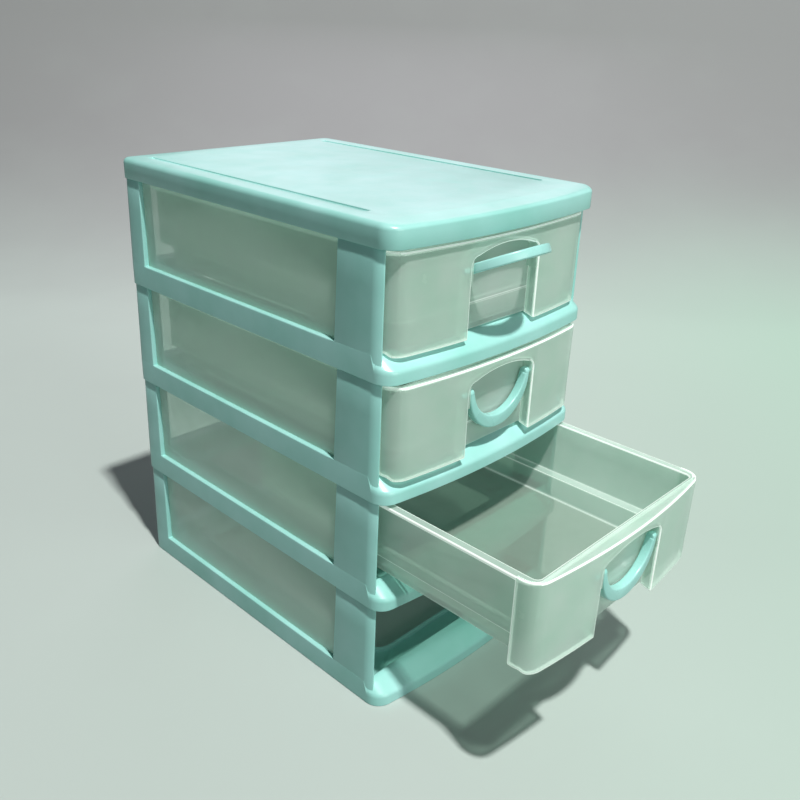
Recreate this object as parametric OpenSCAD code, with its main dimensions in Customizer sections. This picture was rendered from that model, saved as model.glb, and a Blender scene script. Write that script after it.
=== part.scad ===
// Desktop mini drawers: four stacking tier frames with a lid and cloudy side panes, and
// three see-through drawers, each with a swinging bail handle. The bottom bay is empty.
// The front faces -Y, +Z is up, and z = 0 is the surface that the case stands on.

/* [Case] */
// Width of the case
case_w = 132; // [124:1:150]
// Depth of the case between its front corners and its back
case_d = 184; // [170:1:200]
// How far the front bows out at its middle
front_bow = 5.2; // [4:0.2:7]
// Radius of the front corners
front_corner_r = 8; // [7:0.5:9]
// Radius of the back corners
back_corner_r = 5; // [4:0.5:7]
// Thickness of the case's side walls and posts
case_wall = 2; // [1.8:0.1:2.2]

/* [Tier frames] */
// Height from one tier to the next
tier_pitch = 52.6; // [50:0.1:60]
// Height of the sill that each drawer slides on
sill_h = 11.2; // [10.4:0.1:12]
// Width of the sill along the sides and the back
sill_w = 9; // [8.6:0.1:9.4]
// Height of the front lip, where the sloped shelf begins
lip_h = 5.5; // [4.5:0.1:6.5]
// Width of the sloped shelf behind the front lip
shelf_w = 8.2; // [7.6:0.1:9]
// Width of the window between the front and back posts
window_d = 139.5; // [120:0.5:142]
// Thickness of the cloudy pane behind each side window
pane_t = 0.9; // [0.7:0.1:1.1]

/* [Lid] */
// Height of the lid
lid_h = 9.6; // [8:0.2:12]
// Rounding of the lid's top edge
lid_round = 2.4; // [1:0.1:3]

/* [Drawers] */
// How far each drawer stands open, from the top one down
drawer_open = [0, 3, 75]; // [0:1:130]
// Wall thickness of a drawer
drawer_wall = 1.5; // [1.2:0.1:1.8]
// Gap between a drawer's rim and the frame above
rim_gap = 1.6; // [1.2:0.1:2.4]
// Width of the finger recess in a drawer's front
recess_w = 44; // [42:0.5:47]

/* [Handles] */
// How far each handle is raised from hanging, from the top one down
handle_raised = [115, 0, 0]; // [0:5:120]
// Gap between a handle's eyes and the pads beside them
handle_gap = 0.5; // [0.3:0.1:1]
// Thickness of a handle, front to back
handle_t = 4; // [3:0.1:4.2]
// Radius of a handle's pins
pin_r = 1.5; // [1.2:0.1:1.6]
// Gap all round a pin in its hole
pin_gap = 0.08; // [0.04:0.01:0.1]

/* [Hidden] */

fine_fn = 720;   // the long shallow bows
round_fn = 48;   // corners and bores
tiers = 4;
over = 1;        // how far a cutting shape runs past what it cuts

mint = [0.62, 0.87, 0.81];
clear_green = [0.66, 0.77, 0.70, 0.55];

// case plan
half_w = case_w / 2;
back_y = case_d / 2;
front_y = -back_y - front_bow;
bow_r = (half_w * half_w + front_bow * front_bow) / (2 * front_bow);
bow_y = front_y + bow_r;
case_h = tiers * tier_pitch + lid_h;

// sill of a tier frame, heights above its underside
skin = 1.5;                          // outer wall round the hollow under the sill
inner_skin = 2;                      // inner wall of that hollow
roof_t = 2.2;                        // roof of that hollow
shelf_slope = (sill_h - lip_h) / shelf_w;
sill_x = half_w - sill_w;            // inner edges of the sill
sill_y = back_y - sill_w;
opening_r = 4;                       // corners of the opening inside the sill
sill_end_r = 8;                      // rounding of the side sill where it meets the post
ledge_z = [2.2, 4.2];                // floor ledge inside the sill
hole_x = sill_x - 13;                // half width of the hole in the floor
hole_y = [23 - back_y, back_y - 20];
hole_r = 10;
hole_lip_t = 1.6;
hole_lip_z = 6.2;

// posts of a tier frame
post_inset = 0.3;                    // they stand this far inside the sill's outline
post_x = half_w - post_inset;
bay_x = post_x - case_wall;          // inner face of the side walls
post_foot_z = 4;
post_corner_y = 0.5 - sill_y;        // centre of the front post's rounded corner
post_end_angle = 40;                 // the wrap of the front post round its corner
front_post_y = 29.5 - back_y;        // rear edge of the front post at its foot
post_taper = 1.3;                    // how much narrower the front post is at its top
back_post_y = front_post_y + window_d;
back_return_x = sill_x + 2;          // inner edge of the back post's front return
back_flange_x = sill_x - 5;          // inner edge of the back post's rear flange
tenon_t = 1.1;                       // tabs that enter the frame or the lid above
tenon_h = 1.8;
tenon_gap = 0.3;
tenon_root = 4;                      // length of a front tab down inside its post
tenon_y = [12 - back_y, 26 - back_y];
back_tenon_w = 3.5;
mortise_end_y = front_post_y + 10.5; // in front of this the hollow is only mortise_h deep
mortise_h = ledge_z[0];

// panes, which stand on the side sills against the inner faces of the posts
pane_y = [front_post_y - 3, back_post_y - 0.1];
pane_top_gap = 0.2;

// drawer, given as if closed, with heights above its tier's underside
slide_gap = 0.3;                     // between a drawer and the sill under it
tub_z = sill_h + slide_gap;
tub_x = sill_x - 3;                  // lower half of the tub
tub_back_y = sill_y - 11;
step_z = 23;
upper_x = bay_x - 4.7;               // upper half of the tub
upper_back_y = tub_back_y + 3;
tub_front_y = 2.6 - back_y;          // also the back of the finger recess
tub_r = 4;
rim_z = tier_pitch - rim_gap;
rim_x = bay_x - 2.1;
rim_back_y = tub_back_y + 4.5;
rim_t = 1.6;
panel_x = bay_x - 2;
panel_front_y = front_y + 2;
panel_back_y = 11 - back_y;
panel_bow = front_bow - 0.4;
panel_r = 8;
panel_t = 1.8;
panel_z = 10;
recess_x = recess_w / 2;
recess_wall = 1.6;
arch_top_z = rim_z - 3.9;            // top of the finger recess at its middle
arch_side_z = arch_top_z - 3;
arch_corner_r = 4;

// handle
pivot_z = rim_z - 12.6;
pivot_y = tub_front_y - 2.6;
eye_l = 2.5;
inner_up = 3.4;                      // the inner arc is set higher than the outer one
crescent_thin = 2.4;                 // outer radius less inner radius
pin_end_x = recess_x + 3;
bore_l = 8;

// pads round the pivots, which stand into the recess
pad_t = 1.2;
pad_front_y = pivot_y - 2.3;
pad_z = pivot_z - 5.7;
pad_top_z = pivot_z + 4.3;
handle_r = recess_x - pad_t - handle_gap;

function tier_z(level) = (tiers - level) * tier_pitch;

// A plan with a bowed front, rounded corners and a straight back, drawn in by inset.
module bowed_plan(half, front, bow, corner, back, back_corner, inset = 0) {
  r = (half * half + bow * bow) / (2 * bow);
  bow_centre = front + r;
  corner_x = half - corner;
  corner_y = bow_centre - sqrt(pow(r - corner, 2) - corner_x * corner_x);
  meet_x = corner_x * (r - inset) / (r - corner);
  back_x = half - back_corner;
  intersection() {
    translate([0, bow_centre]) circle(r - inset, $fn = fine_fn);
    translate([-meet_x, front - over]) square([2 * meet_x, corner_y - front + over]);
  }
  for (side = [-1, 1]) {
    translate([side * corner_x, corner_y]) circle(corner - inset, $fn = round_fn);
    if (back_corner > inset)
      translate([side * back_x, back - back_corner]) circle(back_corner - inset, $fn = round_fn);
  }
  translate([inset - half, corner_y])
    square([2 * (half - inset), back - max(back_corner, inset) - corner_y]);
  if (back_corner > inset)
    translate([-back_x, corner_y]) square([2 * back_x, back - inset - corner_y]);
}

module case_plan(inset = 0) {
  bowed_plan(half_w, front_y, front_bow, front_corner_r, back_y, back_corner_r, inset);
}

// A rectangle with rounded corners, from low to high.
module round_rect(low, high, r) {
  for (x = [low[0] + r, high[0] - r], y = [low[1] + r, high[1] - r])
    translate([x, y]) circle(r, $fn = round_fn);
  translate([low[0] + r, low[1]]) square([high[0] - low[0] - 2 * r, high[1] - low[1]]);
  translate([low[0], low[1] + r]) square([high[0] - low[0], high[1] - low[1] - 2 * r]);
}

// The body of a sill from low upwards, drawn in by inset and lowered by drop. Its front
// slopes from the flat top down to the lip.
module sill_body(low = 0, inset = 0, drop = 0) {
  translate([0, 0, low]) hull() {
    linear_extrude(lip_h - drop - low) case_plan(inset);
    linear_extrude(sill_h - drop - low) intersection() {
      case_plan(inset);
      translate([0, bow_y]) circle(bow_r - shelf_w, $fn = fine_fn);
    }
  }
}

// Everything below a drawer: the flat sill top and the sloped shelf, raised by the gap.
module under_drawer() {
  reach = 3;
  translate([0, bow_y, 0]) rotate_extrude($fn = fine_fn)
    polygon([[0, 0], [bow_r + reach, 0],
             [bow_r + reach, lip_h - reach * shelf_slope + slide_gap],
             [bow_r - shelf_w, sill_h + slide_gap], [0, sill_h + slide_gap]]);
}

// The opening inside the sill. Beside the front posts it widens to the wall, and the side
// sill ends there in a round nose.
module sill_opening() {
  round_rect([-sill_x, -sill_y], [sill_x, sill_y], opening_r);
  nose_y = front_post_y + sill_end_r;
  difference() {
    translate([-bay_x, -sill_y]) square([2 * bay_x, nose_y + sill_y]);
    for (side = [-1, 1])
      translate([side * (sill_x + sill_end_r), nose_y]) circle(sill_end_r, $fn = round_fn);
  }
}

// The hollow under the sill, which the tabs on the posts of the tier below enter.
module sill_hollow() {
  core_x = sill_x + inner_skin;
  core_y = sill_y + inner_skin;
  difference() {
    sill_body(-over, skin, roof_t);
    translate([-core_x, -core_y, -2 * over])
      cube([2 * core_x, 2 * core_y, sill_h + 2 * over]);
    translate([-half_w, -core_y, mortise_h]) cube([case_w, mortise_end_y + core_y, sill_h]);
  }
}

module sill() {
  difference() {
    sill_body();
    sill_hollow();
    translate([0, 0, ledge_z[1]]) linear_extrude(sill_h) sill_opening();
    translate([0, 0, -over]) linear_extrude(ledge_z[0] + over) sill_opening();
    translate([0, 0, -over]) linear_extrude(sill_h)
      round_rect([-hole_x, hole_y[0]], [hole_x, hole_y[1]], hole_r);
  }
  lip_x = hole_x + hole_lip_t;
  translate([0, 0, ledge_z[0]]) linear_extrude(hole_lip_z - ledge_z[0]) difference() {
    round_rect([-lip_x, hole_y[0] - hole_lip_t], [lip_x, hole_y[1] + hole_lip_t], hole_r + hole_lip_t);
    round_rect([-hole_x, hole_y[0]], [hole_x, hole_y[1]], hole_r);
  }
}

// Right-hand front post: a thin wall that wraps part of the way round the corner.
module front_post_plan() {
  translate([post_x - front_corner_r, post_corner_y]) intersection() {
    difference() {
      circle(front_corner_r, $fn = round_fn);
      circle(front_corner_r - case_wall, $fn = round_fn);
    }
    polygon([[0, 0], [2 * front_corner_r, 0],
             2 * front_corner_r * [cos(post_end_angle), -sin(post_end_angle)]]);
  }
  translate([bay_x, post_corner_y]) square([case_wall, front_post_y - post_corner_y]);
}

module front_post() {
  intersection() {
    translate([0, 0, post_foot_z]) linear_extrude(tier_pitch - post_foot_z) front_post_plan();
    translate([half_w - 2 * front_corner_r, 0, 0]) rotate([90, 0, 90])
      linear_extrude(2 * front_corner_r)
        polygon([[-back_y, 0], [front_post_y, 0], [front_post_y, sill_h],
                 [front_post_y - post_taper, tier_pitch], [-back_y, tier_pitch]]);
  }
  translate([half_w - skin - tenon_gap - tenon_t, tenon_y[0], tier_pitch - tenon_root])
    cube([tenon_t, tenon_y[1] - tenon_y[0], tenon_root + tenon_h]);
}

// Right-hand back post: a channel with a narrow front return and a rear flange.
module back_post_plan() {
  outer = back_corner_r - post_inset;
  corner = [post_x - outer, back_y - post_inset - outer];
  translate([back_return_x, back_post_y]) square([post_x - back_return_x, case_wall]);
  translate([bay_x, back_post_y]) square([case_wall, corner[1] - back_post_y]);
  translate([back_flange_x, back_y - post_inset - case_wall])
    square([corner[0] - back_flange_x, case_wall]);
  translate(corner) intersection() {
    difference() {
      circle(outer, $fn = round_fn);
      circle(outer - case_wall, $fn = round_fn);
    }
    square(2 * outer);
  }
}

module back_post() {
  translate([0, 0, post_foot_z]) linear_extrude(tier_pitch - post_foot_z) back_post_plan();
  translate([bay_x - back_tenon_w, back_post_y, tier_pitch - over])
    cube([back_tenon_w, case_wall, over + tenon_h]);
}

module tier_frame(level) {
  color(mint) translate([0, 0, tier_z(level)]) union() {
    sill();
    for (side = [0, 1]) mirror([side, 0, 0]) {
      front_post();
      back_post();
    }
  }
}

// A pane behind the side window on one side, -1 for the left and 1 for the right.
module pane(level, side) {
  color(clear_green) translate([side * (bay_x - pane_t / 2) - pane_t / 2, pane_y[0],
                                tier_z(level) + sill_h])
    cube([pane_t, pane_y[1] - pane_y[0], tier_pitch - sill_h - pane_top_gap]);
}

// Lid: a shallow cap with a softly rounded top edge and a long slot along each side.
module lid() {
  slot_x = sill_x - 2;
  slot_w = 3.2;
  slot_y = [23 - back_y, back_y - 10];
  slot_depth = 0.6;
  slice = 0.01;
  color(mint) translate([0, 0, case_h - lid_h]) difference() {
    hull() {
      linear_extrude(lid_h - lid_round) case_plan();
      for (a = [30, 60, 90])
        translate([0, 0, lid_h - lid_round + lid_round * sin(a) - slice])
          linear_extrude(slice) case_plan(lid_round * (1 - cos(a)));
    }
    translate([0, 0, -over]) linear_extrude(lid_h - case_wall + over) case_plan(skin);
    for (side = [-1, 1])
      translate([side * slot_x - slot_w / 2, slot_y[0], lid_h - slot_depth])
        cube([slot_w, slot_y[1] - slot_y[0], slot_depth + over]);
  }
}

// Front of the finger recess, in the plane of the panel: an arch with rounded corners.
module recess_face() {
  half = recess_x - arch_corner_r;
  rise = arch_top_z - arch_side_z;
  arch_r = (half * half + rise * rise) / (2 * rise);
  shoulder_z = arch_side_z - arch_corner_r;
  intersection() {
    translate([0, arch_top_z - arch_r]) circle(arch_r, $fn = fine_fn);
    translate([-half, shoulder_z]) square([2 * half, 2 * arch_corner_r + rise]);
  }
  for (side = [-1, 1]) translate([side * half, shoulder_z]) circle(arch_corner_r, $fn = round_fn);
  translate([-recess_x, 0]) square([recess_w, shoulder_z]);
}

module panel_plan(back, inset = 0) {
  intersection() {
    bowed_plan(panel_x, panel_front_y, panel_bow, panel_r, 0, 0, inset);
    translate([-half_w, panel_front_y - over]) square([case_w, back - panel_front_y + over]);
  }
}

// The drawer's front: two hollow wings on each side of the finger recess.
module drawer_front() {
  recess_out = recess_x + recess_wall;
  difference() {
    translate([0, 0, panel_z]) linear_extrude(rim_z - panel_z) panel_plan(panel_back_y);
    // behind the front wall the wings are open downwards and backwards
    for (side = [0, 1]) mirror([side, 0, 0])
      translate([0, 0, panel_z - over]) linear_extrude(rim_z - rim_t - panel_z + over)
        intersection() {
          panel_plan(panel_back_y + 2 * over, panel_t);
          translate([recess_out, panel_front_y]) square(panel_x);
        }
    translate([-recess_out - over, tub_front_y, panel_z - over])
      cube([2 * (recess_out + over), 2 * panel_r, rim_z]);
    translate([0, tub_front_y, 0]) rotate([90, 0, 0]) linear_extrude(-panel_front_y) recess_face();
    under_drawer();
  }
  // pads round the pivots
  for (side = [0, 1]) mirror([side, 0, 0])
    translate([recess_x - pad_t, pad_front_y, pad_z])
      cube([pad_t, tub_front_y + drawer_wall - pad_front_y, pad_top_z - pad_z]);
}

module tub_outside() {
  translate([0, 0, tub_z]) linear_extrude(step_z + drawer_wall - tub_z)
    round_rect([-tub_x, tub_front_y], [tub_x, tub_back_y], tub_r);
  translate([0, 0, step_z]) linear_extrude(rim_z - step_z)
    round_rect([-upper_x, tub_front_y], [upper_x, upper_back_y], tub_r);
  translate([0, 0, rim_z - rim_t]) linear_extrude(rim_t)
    round_rect([-rim_x, tub_front_y], [rim_x, rim_back_y], tub_r + rim_x - upper_x);
}

module tub_inside() {
  w = drawer_wall;
  translate([0, 0, tub_z + w]) linear_extrude(rim_z)
    round_rect([w - tub_x, tub_front_y + w], [tub_x - w, tub_back_y - w], tub_r - w);
  translate([0, 0, step_z + w]) linear_extrude(rim_z)
    round_rect([w - upper_x, tub_front_y + w], [upper_x - w, upper_back_y - w], tub_r - w);
}

module drawer(level) {
  color(clear_green) translate([0, -drawer_open[level - 1], tier_z(level)]) difference() {
    union() {
      drawer_front();
      tub_outside();
    }
    tub_inside();
    for (side = [-1, 1])
      translate([side * recess_x, pivot_y, pivot_z]) rotate([0, 90, 0])
        cylinder(r = pin_r + pin_gap, h = bore_l, center = true, $fn = round_fn);
  }
}

// A hanging crescent with a rounded eye and a pin at each end, about its pivot line.
module handle_shape() {
  rotate([90, 0, 0]) intersection() {
    difference() {
      cylinder(r = handle_r, h = handle_t, center = true, $fn = 2 * round_fn);
      translate([0, inner_up, 0])
        cylinder(r = handle_r - crescent_thin, h = handle_t + over, center = true,
                 $fn = 2 * round_fn);
    }
    translate([-handle_r - over, -2 * handle_r, -handle_t])
      cube([2 * (handle_r + over), 2 * handle_r, 2 * handle_t]);
  }
  for (side = [0, 1]) mirror([side, 0, 0]) {
    translate([handle_r - eye_l, 0, 0]) rotate([0, 90, 0])
      cylinder(r = handle_t / 2, h = eye_l, $fn = round_fn);
    translate([handle_r - eye_l / 2, 0, 0]) rotate([0, 90, 0])
      cylinder(r = pin_r, h = pin_end_x - handle_r + eye_l / 2, $fn = round_fn);
  }
}

module handle(level) {
  color(mint) translate([0, pivot_y - drawer_open[level - 1], tier_z(level) + pivot_z])
    rotate([-handle_raised[level - 1], 0, 0]) handle_shape();
}

lid();
tier_frame(1);  // tier_frame_1
tier_frame(2);  // tier_frame_2
tier_frame(3);  // tier_frame_3
tier_frame(4);  // tier_frame_4
pane(1, -1);  // pane_1_left
pane(1, 1);  // pane_1_right
pane(2, -1);  // pane_2_left
pane(2, 1);  // pane_2_right
pane(3, -1);  // pane_3_left
pane(3, 1);  // pane_3_right
pane(4, -1);  // pane_4_left
pane(4, 1);  // pane_4_right
drawer(1);  // drawer_1
drawer(2);  // drawer_2
drawer(3);  // drawer_3
handle(1);  // handle_1
handle(2);  // handle_2
handle(3);  // handle_3
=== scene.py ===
"""Desktop mini drawers: the looks of every piece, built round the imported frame.

Meshes are worked out in millimetres in the frame's own axes (the front faces -Y and +Z is up)
and turned into metres when a piece is finished.
"""
import logging
import math
from dataclasses import dataclass, field
from enum import Enum
from typing import Callable, Iterable, Sequence

import bmesh
import bpy
from mathutils import Matrix, Vector


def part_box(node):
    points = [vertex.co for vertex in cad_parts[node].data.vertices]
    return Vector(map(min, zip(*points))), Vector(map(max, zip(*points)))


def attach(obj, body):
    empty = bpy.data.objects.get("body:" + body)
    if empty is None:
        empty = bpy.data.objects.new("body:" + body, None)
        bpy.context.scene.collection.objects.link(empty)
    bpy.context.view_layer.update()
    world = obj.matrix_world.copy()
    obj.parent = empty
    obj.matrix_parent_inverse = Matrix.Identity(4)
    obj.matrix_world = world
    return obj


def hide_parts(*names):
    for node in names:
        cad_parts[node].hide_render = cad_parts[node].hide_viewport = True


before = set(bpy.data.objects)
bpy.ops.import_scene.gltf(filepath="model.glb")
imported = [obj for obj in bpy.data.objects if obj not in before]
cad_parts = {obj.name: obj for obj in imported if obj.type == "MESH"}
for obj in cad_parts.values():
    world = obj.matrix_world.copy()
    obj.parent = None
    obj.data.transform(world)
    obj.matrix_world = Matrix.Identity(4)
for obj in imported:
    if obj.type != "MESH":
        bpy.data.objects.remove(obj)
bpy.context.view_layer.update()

MM = 0.001
# Vertex mask for the painted highlight and painted glow on drawer edges.
EDGE_GLOW = "edge_glow"
# Vertex mask for the painted shade on the drawers' floors.
PAINTED_FLOOR_SHADE = "painted_floor_shade"
LOG = logging.getLogger("mini_drawers")

Point = tuple[float, float, float]
Plan = tuple[float, float]


# ---------------------------------------------------------------- shader graph


class Value:
    """A shader socket that takes part in Python arithmetic."""

    def __init__(self, graph: "Graph", socket: bpy.types.NodeSocket) -> None:
        """Wrap a socket of a graph."""
        self.graph = graph
        self.socket = socket

    def _math(self, operation: str, first: "Value | float", second: "Value | float") -> "Value":
        """Add one Math node.

        Args:
            operation: the node's operation.
            first: its first value.
            second: its second value.

        Returns:
            The node's result.
        """
        return self.graph.node("ShaderNodeMath", {"operation": operation}, {0: first, 1: second})

    def __add__(self, other: "Value | float") -> "Value":
        """Add."""
        return self._math("ADD", self, other)

    __radd__ = __add__

    def __sub__(self, other: "Value | float") -> "Value":
        """Subtract."""
        return self._math("SUBTRACT", self, other)

    def __rsub__(self, other: "Value | float") -> "Value":
        """Subtract from a number."""
        return self._math("SUBTRACT", other, self)

    def __mul__(self, other: "Value | float") -> "Value":
        """Multiply."""
        return self._math("MULTIPLY", self, other)

    __rmul__ = __mul__


class Graph:
    """The node tree of one material or of the world."""

    def __init__(self, tree: bpy.types.NodeTree) -> None:
        """Empty the tree, ready for new nodes."""
        self.tree = tree
        tree.nodes.clear()

    def add(self, kind: str, settings: dict | None = None,
            inputs: dict | None = None) -> bpy.types.Node:
        """Add a node.

        Args:
            kind: the node's type.
            settings: the node's properties, set before its sockets.
            inputs: a value, a Value or a socket for each named or numbered input.

        Returns:
            The node.
        """
        node = self.tree.nodes.new(kind)
        for name, setting in (settings or {}).items():
            setattr(node, name, setting)
        for name, given in (inputs or {}).items():
            if isinstance(given, Value):
                given = given.socket
            if isinstance(given, bpy.types.NodeSocket):
                self.tree.links.new(given, node.inputs[name])
            else:
                node.inputs[name].default_value = given
        return node

    def node(self, kind: str, settings: dict | None = None, inputs: dict | None = None,
             output: int | str = 0) -> Value:
        """Add a node and wrap one of its outputs.

        Args:
            kind: the node's type.
            settings: the node's properties.
            inputs: what its inputs take.
            output: which output to wrap.

        Returns:
            The wrapped output.
        """
        return Value(self, self.add(kind, settings, inputs).outputs[output])

    def noise(self, where: Value, scale: float, detail: float = 2.0) -> Value:
        """Give a smooth noise from 0 to 1.

        Args:
            where: the coordinates.
            scale: how many cells a metre holds.
            detail: how many octaves are added.

        Returns:
            The noise.
        """
        return self.node("ShaderNodeTexNoise", {"noise_dimensions": "3D"},
                         {"Vector": where, "Scale": scale, "Detail": detail})

    def ramp(self, value: Value, low: float, high: float, start: float, end: float) -> Value:
        """Map a value from low..high to start..end, clamped.

        Args:
            value: the value to map.
            low: where the map begins.
            high: where it ends.
            start: the result at low.
            end: the result at high.

        Returns:
            The mapped value.
        """
        return self.node("ShaderNodeMapRange", {"clamp": True},
                         {"Value": value, "From Min": low, "From Max": high,
                          "To Min": start, "To Max": end})

    def blend(self, factor: Value | float, first: Value | Sequence[float],
              second: Sequence[float]) -> Value:
        """Mix two colours.

        Args:
            factor: how much of the second colour shows.
            first: the first colour, fixed or made by other nodes.
            second: the second colour.

        Returns:
            The mixed colour.
        """
        start = first if isinstance(first, Value) else (*first, 1.0)
        return self.node("ShaderNodeMix", {"data_type": "RGBA"},
                         {0: factor, 6: start, 7: (*second, 1.0)}, 2)

    def bump(self, height: Value, strength: float, distance: float,
             under: Value | None = None) -> Value:
        """Turn a height into a bumped normal.

        Args:
            height: the height.
            strength: how strongly it shows.
            distance: how deep it is, in metres.
            under: a bumped normal that this one lies on.

        Returns:
            The normal.
        """
        inputs = {"Strength": strength, "Distance": distance, "Height": height}
        if under is not None:
            inputs["Normal"] = under
        return self.node("ShaderNodeBump", {}, inputs)

    def shader(self, node: bpy.types.Node) -> None:
        """Send a shader node to the material's surface."""
        out = self.add("ShaderNodeOutputMaterial")
        self.tree.links.new(node.outputs[0], out.inputs["Surface"])


def linear(red: int, green: int, blue: int) -> tuple[float, float, float]:
    """Turn a display colour of 0 to 255 into linear light.

    Args:
        red: the red level.
        green: the green level.
        blue: the blue level.

    Returns:
        The linear colour.
    """
    levels = (level / 255 for level in (red, green, blue))
    return tuple(x / 12.92 if x <= 0.04045 else ((x + 0.055) / 1.055) ** 2.4 for x in levels)


def start_material(name: str) -> tuple[bpy.types.Material, Graph, Value]:
    """Start a material.

    Args:
        name: its name.

    Returns:
        The material, its empty graph and the object's own coordinates.
    """
    material = bpy.data.materials.new(name)
    material.use_nodes = True
    graph = Graph(material.node_tree)
    return material, graph, graph.node("ShaderNodeTexCoord", output="Object")


# ---------------------------------------------------------------- finishes


class Slot(Enum):
    """The names of the material slots."""

    CASE = "case_plastic"
    DRAWER = "drawer_plastic"
    HANDLE = "handle_plastic"


@dataclass(frozen=True)
class MintPlastic:
    """Solid moulded plastic: satin, faintly mottled, with a fine grain and rubbed patches."""

    name: str = "mint_plastic"
    pale: tuple[int, int, int] = (170, 225, 221)
    deep: tuple[int, int, int] = (151, 214, 206)
    roughness: float = 0.30
    rubbed: float = 0.42
    coat: float = 0.3
    coat_roughness: float = 0.28
    mottle_scale: float = 38.0
    grain_scale: float = 1900.0
    wave_scale: float = 55.0
    grain_depth: float = 0.00002
    wave_depth: float = 0.00012

    def build(self) -> bpy.types.Material:
        """Make the material.

        Returns:
            The material.
        """
        material, graph, where = start_material(self.name)
        mottle = graph.noise(where, self.mottle_scale, 3.0)
        rub = graph.ramp(graph.noise(where, self.mottle_scale * 2.3, 5.0), 0.45, 0.75, 0.0, 1.0)
        grain = graph.noise(where, self.grain_scale, 1.0)
        wave = graph.noise(where, self.wave_scale, 1.0)
        colour = graph.blend(graph.ramp(mottle, 0.3, 0.7, 0.0, 1.0), linear(*self.pale),
                             linear(*self.deep))
        wide = graph.bump(wave, 0.5, self.wave_depth)
        bump = graph.bump(grain, 0.6, self.grain_depth, wide)
        rough = self.roughness + rub * (self.rubbed - self.roughness) + (grain - 0.5) * 0.06
        graph.shader(graph.add("ShaderNodeBsdfPrincipled", {}, {
            "Base Color": colour, "Roughness": rough, "Normal": bump, "IOR": 1.5,
            "Coat Weight": self.coat, "Coat Roughness": self.coat_roughness}))
        return material


@dataclass(frozen=True)
class ClearPlastic:
    """Milky see-through plastic: thin walls show what is behind.

    Edges carry a painted highlight and a painted glow, and every wall a faint painted glow.
    """

    name: str = "clear_plastic"
    pale: tuple[int, int, int] = (231, 241, 237)
    deep: tuple[int, int, int] = (206, 228, 218)
    tint: tuple[int, int, int] = (232, 246, 239)
    # Painted highlight: lit_edge is the paler colour of marked edges.
    lit_edge: tuple[int, int, int] = (250, 253, 250)
    flat_density: float = 0.38
    edge_density: float = 0.72
    glow_density: float = 0.96
    # Painted shade: floor is the darker colour of the tub's floor.
    floor: tuple[int, int, int] = (160, 172, 162)
    # Painted glow: inner_light is emitted by every wall, edge_light by marked edges.
    inner_light: tuple[int, int, int] = (50, 60, 56)
    edge_light: tuple[int, int, int] = (146, 156, 150)
    edge_blend: float = 0.35
    haze_share: float = 0.12
    translucence: float = 0.15
    roughness: float = 0.16
    haze_scale: float = 60.0
    flow_scale: float = 26.0
    flow_depth: float = 0.0004

    def build(self) -> bpy.types.Material:
        """Make the material.

        Returns:
            The material.
        """
        material, graph, where = start_material(self.name)
        haze = graph.noise(where, self.haze_scale, 4.0)
        stretched = graph.node("ShaderNodeMapping", {}, {"Vector": where, "Scale": (1, 1, 0.16)})
        flow = graph.noise(stretched, self.flow_scale * 4, 2.0)
        colour = graph.blend(graph.ramp(haze, 0.3, 0.7, 0.0, 1.0), linear(*self.pale),
                             linear(*self.deep))
        # Painted shade: the tub's floor turns darker.
        floor_shade_mask = graph.node("ShaderNodeAttribute", {"attribute_name": PAINTED_FLOOR_SHADE}, output="Fac")
        colour = graph.blend(floor_shade_mask, colour, linear(*self.floor))
        # Painted highlight: marked edges turn paler.
        glow = graph.node("ShaderNodeAttribute", {"attribute_name": EDGE_GLOW}, output="Fac")
        colour = graph.blend(glow, colour, linear(*self.lit_edge))
        # Painted glow: walls emit a faint light and marked edges a brighter one.
        painted_glow = graph.blend(glow, linear(*self.inner_light), linear(*self.edge_light))
        bump = graph.bump(flow, 0.35, self.flow_depth)
        rough = self.roughness + graph.ramp(haze, 0.4, 0.8, 0.0, 0.14)
        body = graph.add("ShaderNodeBsdfPrincipled", {}, {
            "Base Color": colour, "Roughness": rough, "Normal": bump, "IOR": 1.5,
            "Coat Weight": 0.3, "Coat Roughness": 0.06,
            "Emission Color": painted_glow, "Emission Strength": 1.0})
        glowing = graph.add("ShaderNodeBsdfTranslucent", {}, {"Color": (*linear(*self.pale), 1)})
        body = graph.add("ShaderNodeMixShader", {}, {0: self.translucence, 1: body.outputs[0],
                                                     2: glowing.outputs[0]})
        through = graph.add("ShaderNodeBsdfTransparent", {}, {"Color": (*linear(*self.tint), 1)})
        facing = graph.node("ShaderNodeLayerWeight", {}, {"Blend": self.edge_blend}, "Facing")
        density = self.flat_density + (self.edge_density - self.flat_density) * facing
        density = density + (haze - 0.5) * self.haze_share
        density = density + (self.glow_density - density) * glow
        graph.shader(graph.add("ShaderNodeMixShader", {}, {0: density, 1: through.outputs[0],
                                                          2: body.outputs[0]}))
        return material


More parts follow.
